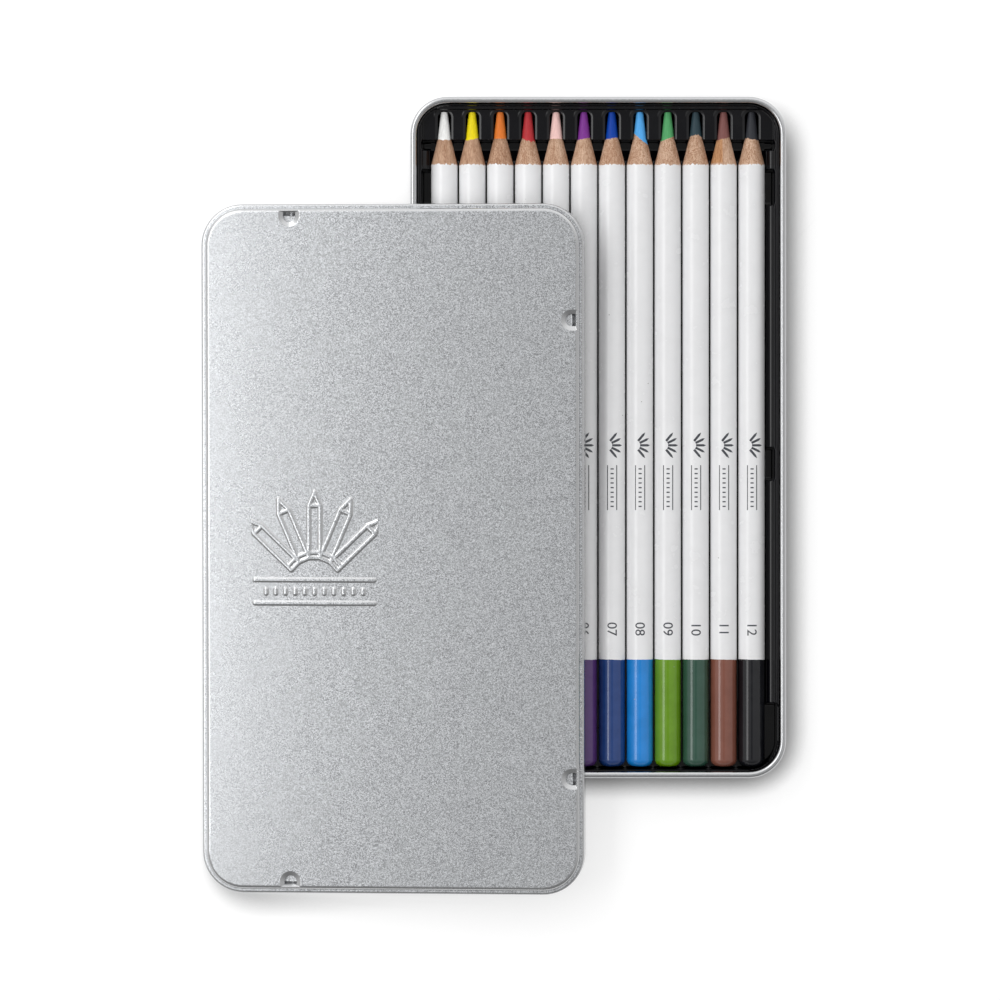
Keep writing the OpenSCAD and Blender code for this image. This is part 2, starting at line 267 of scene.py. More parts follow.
def makeRaggedEdgeGroup():
    # 1 past an edge that runs round the pencil, tilted and torn by the sharpener's blade
    group, source, target = openGroup(
        "raggedEdge",
        {"Along": "Float", "Around": "Vector", "Edge": "Float", "Tilt": "Vector",
         "Tear": "Float", "Teeth": "Float", "Softness": "Float", "Seed": "Vector"},
        {"Past": "Float"})
    tilt = vectorCalc(group, "DOT_PRODUCT", source["Around"], source["Tilt"])
    seeded = vectorCalc(group, "ADD", source["Around"], source["Seed"])
    teeth = noise(group, seeded, source["Teeth"], *raggedEdge["detail"])
    torn = calc(group, "MULTIPLY", calc(group, "SUBTRACT", teeth, 0.5), source["Tear"])
    edge = calc(group, "ADD", calc(group, "ADD", source["Edge"], tilt), torn)
    past = calc(group, "DIVIDE", calc(group, "SUBTRACT", source["Along"], edge), source["Softness"])
    fill(group, target, {"Past": remap(group, past, -0.5, 0.5)})
    return group


def makeWoodGroup():
    # cut casing wood: bands and fine lines along the pencil, and pores
    group, source, target = openGroup(
        "cutWood",
        {"Local": "Vector", "Seed": "Vector", "Light": "Color", "Dark": "Color", "Pores": "Float"},
        {"Color": "Color", "Height": "Float"})
    place = vectorCalc(group, "ADD", source["Local"], source["Seed"])

    def layer(kind):
        # how dark one layer of the grain makes the wood
        scale, detail, span, share = woodGrain[kind]
        tone = noise(group, stretched(group, place, scale), 1.0, *detail)
        return calc(group, "MULTIPLY", remap(group, tone, *span), share)
    pores = calc(group, "MULTIPLY", layer("pore"), source["Pores"])
    depth = calc(group, "ADD", calc(group, "ADD", layer("band"), layer("line")), pores, clamp=True)
    fill(group, target, {"Color": mixColor(group, depth, source["Light"], source["Dark"]),
                         "Height": calc(group, "SUBTRACT", 1.0, depth)})
    return group


def addMarks(tree, place, look):
    values = {"Place": place, "Size": look["smudgeSize"], "Specks": look["specks"]}
    return placeGroup(tree, handlingGroup, values)


grainGroup = makeGrainGroup()
handlingGroup = makeHandlingGroup()
pencilSpaceGroup = makePencilSpaceGroup()
raggedEdgeGroup = makeRaggedEdgeGroup()
woodGroup = makeWoodGroup()
print("shared effects made")


# tinplate

tinplate = {
    "plate": (0.54, 0.553, 0.57, 1),  # matt, speckled flats
    "polished": (0.54, 0.545, 0.553, 1),  # drawn edges, rubbed smooth
    "plateRoughness": 0.27,
    "edgeRoughness": 0.2,
    "smudgeSize": 14.0,
    "smudgeRoughness": 0.01,  # added where it was handled
    "specks": 0,
    "grainSize": 0.19,
    "grainContrast": 1.0,
    "baseSpeckle": 0.35,  # of the base, as a share of the lid's
    "wearAndWashout": 0.5,  # how much of the speckle is left at the left end, where it is painted fainter as if washed out by the lights
    "washoutRange": (-102, -62),  # across the tin, from the left end to where the speckle is full
    "edgeRadius": 0.22,  # how round the pressed edges are
    "flatnessRange": (0.955, 0.998),  # how level a face is to be speckled
}


def makeTinplate(name, level, speckle):
    # level is the direction that the piece's flats face
    material, tree, shader = openMaterial(name, {"Metallic": 1.0})
    place = objectSpace(tree)
    soft = addNode(tree, "Bevel", {"Radius": tinplate["edgeRadius"] * mm}, samples=6).outputs[0]
    grain = placeGroup(tree, grainGroup, {"Place": place, "Grain Size": tinplate["grainSize"]})
    marks = addMarks(tree, place, tinplate)
    facing = addNode(tree, "TexCoord").outputs["Normal"]
    flat = remap(tree, vectorCalc(tree, "DOT_PRODUCT", facing, level), *tinplate["flatnessRange"])
    amount = calc(tree, "MULTIPLY", flat, speckle)
    across = component(tree, place, 0)
    # painted light: the speckle is made fainter towards the brightly lit left end of the tin
    kept = remap(tree, across, *tinplate["washoutRange"], tinplate["wearAndWashout"], 1.0)
    contrast = calc(tree, "MULTIPLY", calc(tree, "MULTIPLY", amount, kept), tinplate["grainContrast"])
    lighter = calc(tree, "MULTIPLY_ADD", calc(tree, "SUBTRACT", grain["Shade"], 0.5), contrast, 1.0)
    base = mixColor(tree, amount, tinplate["polished"], tinplate["plate"])
    grey = addNode(tree, "CombineColor", {0: lighter, 1: lighter, 2: lighter}).outputs[0]
    color = mixColor(tree, 1.0, base, grey, "MULTIPLY")
    smooth = calc(tree, "MULTIPLY_ADD", amount, tinplate["plateRoughness"] - tinplate["edgeRoughness"],
                  tinplate["edgeRoughness"])
    rough = calc(tree, "MULTIPLY_ADD", marks["Smudge"], tinplate["smudgeRoughness"], smooth)
    fill(tree, shader, {"Base Color": color, "Roughness": rough, "Normal": soft})
    return material


def panelPlane():
    # the lid's largest face that looks up gives the plane of its panel
    faces = [face for face in nodes["lid"].data.polygons if face.normal.z > 0.9]
    largest = max(faces, key=lambda face: face.area)
    return largest.center.copy(), largest.normal.copy()


panelPoint, panelNormal = panelPlane()
lidTin = makeTinplate("lidTinplate", tuple(panelNormal), 1.0)
baseTin = makeTinplate("baseTinplate", (0, 0, 1), tinplate["baseSpeckle"])
dress(nodes["lid"], lidTin)
dress(nodes["base_tin"], baseTin)
print("tinplate done")


# embossed fan of pencils on the lid

emblem = {
    "center": (-75.6, -29.8),  # over the tin's plan
    "pencils": 5,
    "spread": 92,  # degrees between the outer two
    "root": (0, -9.5),  # where their lines would meet
    "inner": 7.2,  # from there to the blunt ends
    "length": 17.5,
    "width": 3.0,
    "pointLength": 3.6,
    "band": 1.4,  # line across each pencil, from its blunt end
    "ruleWidth": 32,
    "ruleHeights": (-8.2, -14.4),
    "beadGap": 2.6,  # between the beads of the middle row
    "beadRow": -11.3,
    "beads": 11,
    "beadHalf": 0.5,
    "strokeHalf": 0.44,
    "rise": 0.3,
    "steepness": 1.35,  # of the strokes' sides
    "margin": 1,  # of the mesh round the strokes
    "cell": 0.13,
    "sink": 0.03,
    "thickness": 0.12,
}


def fanDirections(count, spread):
    # the direction of each pencil of a fan, and the one across it
    for k in range(count):
        angle = math.radians(spread * (k / (count - 1) - 0.5))
        yield np.array((math.sin(angle), math.cos(angle))), np.array((math.cos(angle), -math.sin(angle)))


def evenly(count, gap):
    # places of a row, gap apart, round 0
    return [(k - (count - 1) / 2) * gap for k in range(count)]


def fanStrokes():
    # straight strokes as pairs of points, in millimetres on the panel
    strokes = []
    root = np.array(emblem["root"], float)
    end = emblem["inner"] + emblem["length"]
    for along, across in fanDirections(emblem["pencils"], emblem["spread"]):
        side = across * emblem["width"] / 2
        blunt = root + along * emblem["inner"]
        band = root + along * (emblem["inner"] + emblem["band"])
        shoulder = root + along * (end - emblem["pointLength"])
        outline = [blunt - side, shoulder - side, root + along * end, shoulder + side, blunt + side]
        strokes += zip(outline, outline[1:] + outline[:1])
        strokes += [(shoulder - side, shoulder + side), (band - side, band + side)]
    reach = emblem["ruleWidth"] / 2
    for height in emblem["ruleHeights"]:
        strokes.append((np.array((-reach, height)), np.array((reach, height))))
    bead = np.array((0, emblem["beadHalf"]))
    for x in evenly(emblem["beads"], emblem["beadGap"]):
        middle = np.array((x, emblem["beadRow"]))
        strokes.append((middle - bead, middle + bead))
    return strokes


def strokeDistance(x, y, strokes):
    nearest = np.full(x.shape, 1e9)
    for start, end in strokes:
        run = end - start
        t = ((x - start[0]) * run[0] + (y - start[1]) * run[1]) / max(run @ run, 1e-9)
        t = np.clip(t, 0, 1)
        nearest = np.minimum(nearest, np.hypot(x - start[0] - t * run[0], y - start[1] - t * run[1]))
    return nearest


def gridFaces(inside):
    # quads of a row-by-row grid, where at least one corner is inside
    columns = inside.shape[1]
    keep = inside[:-1, :-1] | inside[1:, :-1] | inside[:-1, 1:] | inside[1:, 1:]
    row, column = np.nonzero(keep)
    corner = row * columns + column
    return np.stack([corner, corner + 1, corner + columns + 1, corner + columns], axis=1)


def addPiece(name, points, faces):
    # points in metres
    mesh = bpy.data.meshes.new(name)
    mesh.from_pydata(points, [], faces)
    mesh.update()
    mesh.shade_smooth()
    return addObject(name, mesh)


def meshFromGrid(name, points, quads):
    # only the points that a quad uses
    used, index = np.unique(quads, return_inverse=True)
    return addPiece(name, points[used].tolist(), index.reshape(quads.shape).tolist())


def thicken(obj, thickness):
    # a closed sheet, grown to the side away from the normals
    modifier = obj.modifiers.new("sheet", "SOLIDIFY")
    modifier.thickness = thickness * mm
    modifier.offset = -1
    modifier.use_even_offset = False


def makeEmblem():
    reach = emblem["ruleWidth"] / 2 + emblem["margin"]
    step = emblem["cell"]
    lines = np.arange(-reach, reach + step, step)
    x, y = np.meshgrid(lines, lines)
    distance = strokeDistance(x, y, fanStrokes())
    share = np.clip(1 - distance / (2 * emblem["strokeHalf"]), 0, 1)
    height = emblem["rise"] * (0.5 - 0.5 * np.cos(math.pi * np.clip(share * emblem["steepness"], 0, 1)))
    normal = np.array(panelNormal)
    right = np.array((1, 0, 0)) - normal * normal[0]
    right /= np.linalg.norm(right)
    up = np.cross(normal, right)
    middle = np.array((*emblem["center"], 0)) * mm
    middle[2] = normal @ (np.array(panelPoint) - middle) / normal[2]
    raised = (height - emblem["sink"])[..., None] * normal
    points = middle + (x[..., None] * right + y[..., None] * up + raised) * mm
    obj = meshFromGrid("lid_embossing", points.reshape(-1, 3), gridFaces(height > 0))
    thicken(obj, emblem["thickness"])
    dress(obj, lidTin)
    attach(obj, "lid")


makeEmblem()
print("embossing done")


# formed tray

tray = {
    "sheet": 0.35,
    "grooveGap": 0.12,
    "ridgeDrop": 1.55,  # ridges below the pencils' axes
    "ridgeEnd": 0.6,
    "ridgeSlope": 3.2,
    "flange": 0.55,
    "upperShelf": 0.85,
    "shelfEdge": 1.6,  # rounding of the lower shelf over the outer pencils
    "shoulderBack": 0.2,  # from the next step to where its top starts to turn down
    "upperDrop": 1.3,  # upper shelf below the flange
    "lowerRise": 1.3,  # lower shelf above the pencils' axes
    "endShelf": 0.9,
    "corner": 8.2,
    "nestLength": 8.4,
    "nestHalf": 2.4,  # half width where a nest meets the land
    "nestBevel": (0.35, 0.34),  # run and slope of the land's edge
    "nestEdge": 0.3,  # rounding from there into the walls
    "nestRound": 0.6,  # rounding between its floor and its walls
    "nestDepth": 2.7,
    "nestCorner": 2.1,
    "nestOpen": 0.6,  # how far a nest runs out into the channel
    "lipHeight": 0.09,  # raised lip round a nest's far corner
    "lipHalf": 0.2,
    "lipStart": 2.4,  # from the nest's end to where the lip begins to rise
    "lipReach": 1.6,
    "channel": 2.2,
    "channelCorner": 0.6,
    "channelSoft": 0.9,
    "shortCradle": 5.6,
    "frontChannel": 9.1,
    "middleChannel": 8.3,
    "rearCradle": 60,
    "endWell": 17.5,
    "lowerCorner": 1.6,
    "wallOut": 0.1,  # from the outer grooves to the middle of the well's sides
    "wallEnd": 0.5,  # run over which those sides begin and end
    "bedSoft": 0.5,  # rounding between the grooves and the ridges
    "edgeSoft": 0.3,  # run of a formed step
    "skirtSoft": 0.2,
    "rimLeft": 0.5,  # flange left round the blunt ends
    "cell": 0.16,
    "longCell": 3.0,  # along straight stretches
    "fineEnd": 9.5,  # finely meshed stretch at the blunt ends
    "fineStep": 1.2,  # and on either side of a step
}


def smoothStep(t):
    t = np.clip(t, 0, 1)
    return t * t * (3 - 2 * t)


def boxDistance(x, y, half, y0, y1, r):
    # distance to a rectangle with round corners, half wide on either side of 0, negative inside
    qx = np.abs(x) - half + r
    qy = np.abs(y - (y0 + y1) / 2) - (y1 - y0) / 2 + r
    outside = np.hypot(np.maximum(qx, 0), np.maximum(qy, 0))
    return outside + np.minimum(np.maximum(qx, qy), 0) - r


def stepShare(distance, run):
    # from 0 outside an outline to 1 inside it, over a run across it
    return smoothStep(0.5 - distance / run)


def press(z, level, distance, run):
    # lowers z to level inside an outline, over a rounded step
    return z + (level - z) * stepShare(distance, run)


def gridLines(low, high, fine, cell, longCell):
    # fine lines in the given spans, far apart elsewhere
    lines = set()
    for start, end in fine:
        start, end = max(start, low), min(end, high)
        count = max(1, round((end - start) / cell))
        lines.update(round(start + (end - start) * k / count, 4) for k in range(count + 1))
    lines.update((low, high))
    ordered = sorted(lines)
    filled = []
    for start, end in zip(ordered[:-1], ordered[1:]):
        count = max(1, math.ceil((end - start) / longCell - 1e-6))
        filled += [start + (end - start) * k / count for k in range(count)]
    return np.array(filled + [high])


def sizedBox(node):
    # in millimetres
    return [np.array(corner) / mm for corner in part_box(node)]


def traySizes():
    # the tray's stations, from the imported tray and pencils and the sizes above, in millimetres
    low, high = sizedBox("tray_insert")
    barrels = [sizedBox(f"pencil_{i:02d}_lacquer") for i in range(1, pencilCount + 1)]
    under, over = barrels[0][0][2], barrels[0][1][2]
    at = SimpleNamespace(foot=low[2], flange=high[2], halfW=high[0], halfL=high[1])
    at.axes = [(a[0] + b[0]) / 2 for a, b in barrels]
    at.axis = (over + under) / 2
    at.grooveR = (over - under) / 2 + tray["grooveGap"]
    at.upper = high[2] - tray["upperDrop"]
    at.lower = at.axis + tray["lowerRise"]
    at.ridge = at.axis - tray["ridgeDrop"]
    at.groove = at.axis - at.grooveR
    at.nest = at.axis - tray["nestDepth"]
    at.upperHalf = at.halfW - tray["flange"]
    at.lowerHalf = at.upperHalf - tray["upperShelf"]
    at.wellHalf = at.axes[-1] + at.grooveR
    at.shoulder = at.lowerHalf - tray["shoulderBack"]
    at.nestEnd = at.halfL - tray["flange"] - tray["endShelf"]
    at.nestStart = at.nestEnd - tray["nestLength"]
    at.channelY = at.nestStart - tray["channel"]
    at.rearY = -at.halfL + tray["sheet"] + tray["endWell"]
    at.middleY = at.rearY + tray["rearCradle"]
    at.frontY = at.middleY + tray["middleChannel"]
    at.shortY = at.channelY - tray["shortCradle"]
    at.frontEnd = at.shortY - tray["frontChannel"]
    return at


def trayGrid(at):
    beside = tray["fineStep"]
    fine = [(-at.halfL, -at.halfL + tray["fineEnd"]), (at.shortY - beside, at.halfL)]
    fine += [(edge - beside, edge + beside) for edge in (at.rearY, at.middleY, at.frontY, at.frontEnd)]
    xs = gridLines(-at.halfW, at.halfW, [(-at.halfW, at.halfW)], tray["cell"], tray["cell"])
    ys = gridLines(-at.halfL, at.halfL, fine, tray["cell"], tray["longCell"])
    x, y = np.meshgrid(xs, ys)
    edge = boxDistance(x, y, at.halfW, -at.halfL, at.halfL, tray["corner"])
    # points outside the round corners are drawn in to the outline
    slopeX = np.sign(x) * np.maximum(np.abs(x) - at.halfW + tray["corner"], 0)
    slopeY = np.sign(y) * np.maximum(np.abs(y) - at.halfL + tray["corner"], 0)
    length = np.maximum(np.hypot(slopeX, slopeY), 1e-9)
    outwards = np.maximum(edge, 0)
    return x - outwards * slopeX / length, y - outwards * slopeY / length, edge


def cradleBed(x, y, at):
    # ridges between half-round grooves, ending in slopes
    ridge = np.full(x.shape, at.groove)
    short, long = tray["ridgeEnd"], tray["ridgeSlope"]
    for start, end, slope in ((at.rearY, at.middleY, short), (at.frontY, at.frontEnd, short),
                              (at.shortY, at.channelY, long)):
        share = np.clip(np.minimum((y - start) / short, (end - y) / slope), 0, 1)
        ridge = np.maximum(ridge, at.groove + (at.ridge - at.groove) * share)
    groove = np.full(x.shape, 1e9)
    for axis in at.axes:
        off = np.clip(np.abs(x - axis) / at.grooveR, 0, 1)
        groove = np.minimum(groove, at.axis - at.grooveR * np.sqrt(1 - off * off))
    soft = tray["bedSoft"]
    near = np.maximum(soft - np.abs(groove - ridge), 0) / soft
    return np.minimum(groove, ridge) - near * near * soft / 4


def sideWall(x, y, z, bed, at):
    # from the bed up the well's side and over a round edge to the lower shelf
    r = tray["shelfEdge"]
    off = np.clip((at.shoulder - np.abs(x)) / r, 0, 1)
    crown = at.lower - r * (1 - np.sqrt(np.maximum(1 - off * off, 0)))
    inside = stepShare(np.abs(x) - at.wellHalf - tray["wallOut"], tray["edgeSoft"])
    along = stepShare(np.maximum(at.rearY - y, y - at.nestStart), tray["wallEnd"])
    formed = np.minimum(crown, z) * (1 - inside) + np.minimum(bed, z) * inside
    return z + (formed - z) * along


def pressNest(x, y, z, axis, at):
    # a nest with a level floor, steep walls under a rounded edge, and a lip at its far left corner
    half, edge, r = tray["nestHalf"], tray["nestEdge"], tray["nestRound"]
    run, slope = tray["nestBevel"]
    distance = boxDistance(x - axis, y, half, at.channelY - half, at.nestEnd, tray["nestCorner"])
    distance = np.maximum(distance, at.nestStart - tray["nestOpen"] - y)
    far = smoothStep((y - at.nestEnd + tray["lipStart"]) / tray["lipReach"])
    corner = smoothStep((axis - x) / half) * far
    bead = np.exp(-((distance - tray["lipHalf"]) / tray["lipHalf"]) ** 2)
    level = z + tray["lipHeight"] * bead * corner
    level = level - slope * np.clip(-distance, 0, run)
    depth = np.clip(-distance - run, 0, edge + r)
    rounded = level - edge + np.sqrt(np.maximum(edge ** 2 - depth ** 2, 0))
    foot = at.nest + r - np.sqrt(np.maximum(r * r - (edge + r - depth) ** 2, 0))
    return np.where(depth > 0, np.minimum(level, np.where(depth < edge, rounded, foot)), level)


def makeTray():
    at = traySizes()
    x, y, edge = trayGrid(at)
    halfL, soft = at.halfL, tray["edgeSoft"]
    limit = edge + tray["rimLeft"]
    z = np.full(x.shape, at.flange)
    upper = boxDistance(x, y, at.upperHalf, -halfL, halfL - tray["flange"],
                        tray["corner"] - tray["flange"])
    z = press(z, at.upper, np.maximum(upper, limit), soft)
    lower = boxDistance(x, y, at.lowerHalf, -halfL, at.nestEnd, tray["lowerCorner"])
    z = press(z, at.lower, np.maximum(lower, limit), soft)
    well = np.maximum(np.abs(x) - at.lowerHalf, limit)
    z = np.where(well < -soft / 2, sideWall(x, y, z, cradleBed(x, y, at), at), z)
    channels = [(-halfL, at.rearY, at.upperHalf)]
    for start, end in ((at.middleY, at.frontY), (at.frontEnd, at.shortY), (at.channelY, at.nestStart)):
        channels.append((start, end, at.lowerHalf))
    for start, end, half in channels:
        channel = boxDistance(x, y, half, start, end, tray["channelCorner"])
        z = np.minimum(z, press(z, at.groove, np.maximum(channel, limit), tray["channelSoft"]))
    for axis in at.axes:
        z = pressNest(x, y, z, axis, at)
    z = at.foot + (z - at.foot) * smoothStep(-edge / tray["skirtSoft"])
    points = np.stack([x, y, z], axis=-1).reshape(-1, 3) * mm
    obj = meshFromGrid("formed_tray", points, gridFaces(edge < 0))
    thicken(obj, tray["sheet"])
    return obj


trayPlastic = {
    "color": (0.0025, 0.0025, 0.004, 1),
    "finish": {"IOR": 1.44},
    "roughness": 0.08,
    "smudged": 0.15,
    "smudgeSize": 9.0,
    "specks": 0.05,
    "dust": (120, 118, 116),
    "dustRoughness": 0.5,  # added on the dust
    "rippleScale": 0.35,
    "rippleDepth": 0.02,
}


def makeTrayPlastic():
    material, tree, shader = openMaterial("trayPlastic", trayPlastic["finish"])
    place = objectSpace(tree)
    marks = addMarks(tree, place, trayPlastic)
    color = mixColor(tree, marks["Speck"], trayPlastic["color"], fromScreen(*trayPlastic["dust"]))
    rough = calc(tree, "MULTIPLY_ADD", marks["Smudge"], trayPlastic["smudged"] - trayPlastic["roughness"],
                 trayPlastic["roughness"])
    rough = calc(tree, "MULTIPLY_ADD", marks["Speck"], trayPlastic["dustRoughness"], rough)
    fill(tree, shader, {"Base Color": color, "Roughness": rough})
    addBump(tree, shader, noise(tree, place, trayPlastic["rippleScale"]), trayPlastic["rippleDepth"])
    return material


formedTray = makeTray()
dress(formedTray, makeTrayPlastic())
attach(formedTray, "base")
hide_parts("tray_insert")
print("tray done")


# pencils

# core: waxy color of the point; dip: lacquer of the blunt end; tone: 0 pale to 1 dark wood;
# pores: how speckled the cut wood is; tilt and tear: of the edge between core and wood
pencilColumns = ("name", "core", "dip", "tone", "pores", "tilt", "tear")
pencilRows = [
    ("white", (252, 252, 250), (236, 236, 234), 0.7, 0.15, (0, -0.3), 0.9),
    ("yellow", (250, 228, 18), (238, 206, 30), 0.85, 0.1, (0.35, -0.2), 0.8),
    ("orange", (234, 126, 48), (230, 118, 40), 0.75, 0.7, (0, 0), 0.6),
    ("red", (190, 52, 58), (186, 44, 46), 0.35, 1.0, (-0.5, -0.6), 1.4),
    ("pink", (252, 208, 202), (232, 160, 158), 0.45, 0.5, (0, 0), 0.5),
    ("purple", (132, 54, 152), (84, 52, 112), 0.4, 0.35, (0.35, 0), 0.8),
    ("blue", (0, 66, 172), (26, 58, 116), 0.25, 0.8, (0.3, 0.2), 1.0),
    ("azure", (90, 180, 250), (22, 126, 204), 0.3, 0.8, (-1.6, 0), 0.5),
    ("green", (88, 172, 108), (96, 140, 4), 0.3, 0.9, (0.7, 0), 0.5),
    ("teal", (50, 70, 78), (44, 78, 64), 0.3, 1.0, (0.1, 1.0), 1.3),
    ("brown", (134, 87, 83), (122, 74, 60), 0.3, 0.2, (0.4, 0), 0.8),
    ("black", (52, 54, 60), (16, 17, 22), 0.25, 1.0, (-0.3, -0.1), 1.2),
]
# glueLine: where halves of unlike wood meet, from the axis; shine: weight of the dip's coat, if not 1
pencilExtras = {"brown": {"glueLine": -0.35}, "black": {"shine": 0.65}}
pencils = [dict(zip(pencilColumns, row), **pencilExtras.get(row[0], {})) for row in pencilRows]

casing = {
    "finish": {"Specular IOR Level": 0.22},
    "paleLight": (226, 196, 172),
    "paleDark": (168, 124, 94),
    "darkLight": (196, 158, 130),
    "darkDark": (138, 98, 72),
    "warmHalf": (0.92, 0.74, 0.52, 1),  # tint of the left half where the halves don't match
    "glueSoft": 0.12,
    "grainDepth": 0.03,
    "roughness": 0.62,
    "seed": (11.3, 5.1, 2.7),  # from one pencil's wood to the next
    "coreTorn": (2.4, 0.12),  # teeth and softness of the edge between core and wood
    "coreRoughness": -0.14,  # added on the core
    "rubScale": (2.4, 0.5, 2.4),  # of the sharpener's traces on the core
    "rubDetail": (3.0, 0.6),
    "rubRange": (0.3, 0.75),
    "rubShade": 0.8,
    "rubHeight": 0.8,  # beside the wood's grain
}

barrel = {
    "finish": {"Specular IOR Level": 0.55},
    "white": (236, 236, 237),
    "paintEdge": -0.45,  # mean bare edge, from the shoulder of the cone
    "paintTorn": (1.7, 5.0, 0.08),  # tear, teeth and softness of that edge
    "dipLap": 0.14,  # of the dip over the lacquer
    "dipTilt": 0.1,
    "dipTorn": (0.25, 1.6, 0.05),
    "smudgeSize": 5.0,
    "smudgeShade": 0.97,
    "smudgeRoughness": 0.08,
    "specks": 0.01,
    "speck": (150, 146, 142),
    "roughness": 0.2,
    "bareRoughness": 0.35,  # added on bare wood
    "rippleScale": (0.5, 0.12, 0.5),
    "rippleDepth": 0.03,
}

dipLook = {
    "finish": {"Specular IOR Level": 0.12, "Coat Roughness": 0.1},
    "smudgeSize": 6.0,
    "smudgeShade": 1.12,
    "smudgeLift": 0.004,
    "smudgeRoughness": 0.06,
    "specks": 0.015,
    "speck": (150, 148, 146),
    "roughness": 0.14,
    "rippleScale": (0.4, 0.15, 0.4),
    "rippleDepth": 0.04,
}


def readPencil(body):
    # places and sizes of one pencil, in millimetres
    lacquerLow, lacquerHigh = sizedBox(body + "_lacquer")
    coreLow, coreHigh = sizedBox(body + "_core")
    return {
        "body": body,
        "x": (lacquerLow[0] + lacquerHigh[0]) / 2,
        "z": (lacquerLow[2] + lacquerHigh[2]) / 2,
        "radius": (lacquerHigh[0] - lacquerLow[0]) / 2,
        "coreRadius": (coreHigh[0] - coreLow[0]) / 2,
        "coreStart": coreLow[1],
        "dipEdge": lacquerLow[1],
        "shoulder": lacquerHigh[1],
        "coreEdge": sizedBox(body + "_wood")[1][1],
        "tip": coreHigh[1],
    }


def casingColor(kind, tone):
    pale, dark = casing["pale" + kind], casing["dark" + kind]
    return fromScreen(*(a + (b - a) * tone for a, b in zip(pale, dark)))


def openPencilMaterial(part, pencil, finish):
    # also gives the pencil's own coordinates
    material, tree, shader = openMaterial(f"{part}_{pencil['name']}", finish)
    space = placeGroup(tree, pencilSpaceGroup, {"Axis": (pencil["x"], 0, pencil["z"])})
    return material, tree, shader, space


def edgeMask(tree, space, edge, tilt, tear, teeth, softness, seed):
    values = {"Along": space["Along"], "Around": space["Around"], "Edge": edge,
              "Tilt": (tilt[0], 0, tilt[1]), "Tear": tear, "Teeth": teeth,
              "Softness": softness, "Seed": (seed * 3.7, seed * 1.9, 0)}
    return placeGroup(tree, raggedEdgeGroup, values)["Past"]


def bareMask(pencil, tree, space):
    # 1 where the sharpener has cut the lacquer away
    edge = pencil["shoulder"] + barrel["paintEdge"]
    return edgeMask(tree, space, edge, (0, 0), *barrel["paintTorn"], pencil["number"] + 20)


def addWood(pencil, tree, space):
    values = {"Local": space["Local"], "Pores": pencil["pores"],
              "Seed": tuple(pencil["number"] * step for step in casing["seed"]),
              "Light": casingColor("Light", pencil["tone"]), "Dark": casingColor("Dark", pencil["tone"])}
    return placeGroup(tree, woodGroup, values)


def makePointMaterial(pencil):
    # cut wood below the torn edge of the core, waxy color above it, lacquer at the shoulder
    material, tree, shader, space = openPencilMaterial("point", pencil, casing["finish"])
    wood = addWood(pencil, tree, space)
    woodColor = wood["Color"]
    if "glueLine" in pencil:
        line, soft = pencil["glueLine"], casing["glueSoft"]
        left = remap(tree, component(tree, space["Local"], 0), line + soft, line - soft)
        woodColor = mixColor(tree, left, woodColor, casing["warmHalf"], "MULTIPLY")
    rubbed = noise(tree, stretched(tree, space["Local"], casing["rubScale"]), 1.0, *casing["rubDetail"])
    core = fromScreen(*pencil["core"])
    waxy = mixColor(tree, remap(tree, rubbed, *casing["rubRange"]), core, shade(core, casing["rubShade"]))
    isCore = edgeMask(tree, space, pencil["coreEdge"], pencil["tilt"], pencil["tear"],
                      *casing["coreTorn"], pencil["number"])
    color = mixColor(tree, isCore, woodColor, waxy)
    color = mixColor(tree, bareMask(pencil, tree, space), fromScreen(*barrel["white"]), color)
    rough = calc(tree, "MULTIPLY_ADD", isCore, casing["coreRoughness"], casing["roughness"])
    fill(tree, shader, {"Base Color": color, "Roughness": rough})
    grain = calc(tree, "MULTIPLY", wood["Height"], calc(tree, "SUBTRACT", 1.0, isCore))
    traces = calc(tree, "MULTIPLY", calc(tree, "MULTIPLY", rubbed, isCore), casing["rubHeight"])
    addBump(tree, shader, calc(tree, "ADD", grain, traces), casing["grainDepth"])
    return material


def addLacquer(pencil, tree, shader, space, lacquer, full):
    # ripples on the shader; gives its color and roughness with handling marks in them
    number = pencil["number"]
    place = vectorCalc(tree, "ADD", space["Local"], (number * 17.0, number * 29.0, 0))
    marks = addMarks(tree, place, lacquer)
    smudged = shade(full, lacquer["smudgeShade"], lacquer.get("smudgeLift", 0))
    color = mixColor(tree, marks["Smudge"], full, smudged)
    color = mixColor(tree, marks["Speck"], color, fromScreen(*lacquer["speck"]))
    rough = calc(tree, "MULTIPLY_ADD", marks["Smudge"], lacquer["smudgeRoughness"], lacquer["roughness"])
    ripple = noise(tree, stretched(tree, place, lacquer["rippleScale"]), 1.0)
    addBump(tree, shader, ripple, lacquer["rippleDepth"])
    return color, rough


def makeBarrelMaterial(pencil):
    # white gloss lacquer, torn at the cone and lapped by the dip
    material, tree, shader, space = openPencilMaterial("barrel", pencil, barrel["finish"])
    color, rough = addLacquer(pencil, tree, shader, space, barrel, fromScreen(*barrel["white"]))
    tilt = random.uniform(-barrel["dipTilt"], barrel["dipTilt"])
    overDip = edgeMask(tree, space, pencil["dipEdge"] + barrel["dipLap"], (tilt, 0),
                       *barrel["dipTorn"], pencil["number"] + 40)
    color = mixColor(tree, overDip, fromScreen(*pencil["dip"]), color)
    isBare = bareMask(pencil, tree, space)
    color = mixColor(tree, isBare, color, addWood(pencil, tree, space)["Color"])
    rough = calc(tree, "MULTIPLY_ADD", isBare, barrel["bareRoughness"], rough)
    fill(tree, shader, {"Base Color": color, "Roughness": rough})
    return material


def makeDipMaterial(pencil):
    # deep glossy lacquer, a little uneven from dipping
    finish = {**dipLook["finish"], "Coat Weight": pencil.get("shine", 1.0)}
    material, tree, shader, space = openPencilMaterial("dip", pencil, finish)
    color, rough = addLacquer(pencil, tree, shader, space, dipLook, fromScreen(*pencil["dip"]))
    fill(tree, shader, {"Base Color": color, "Roughness": rough})
    return material


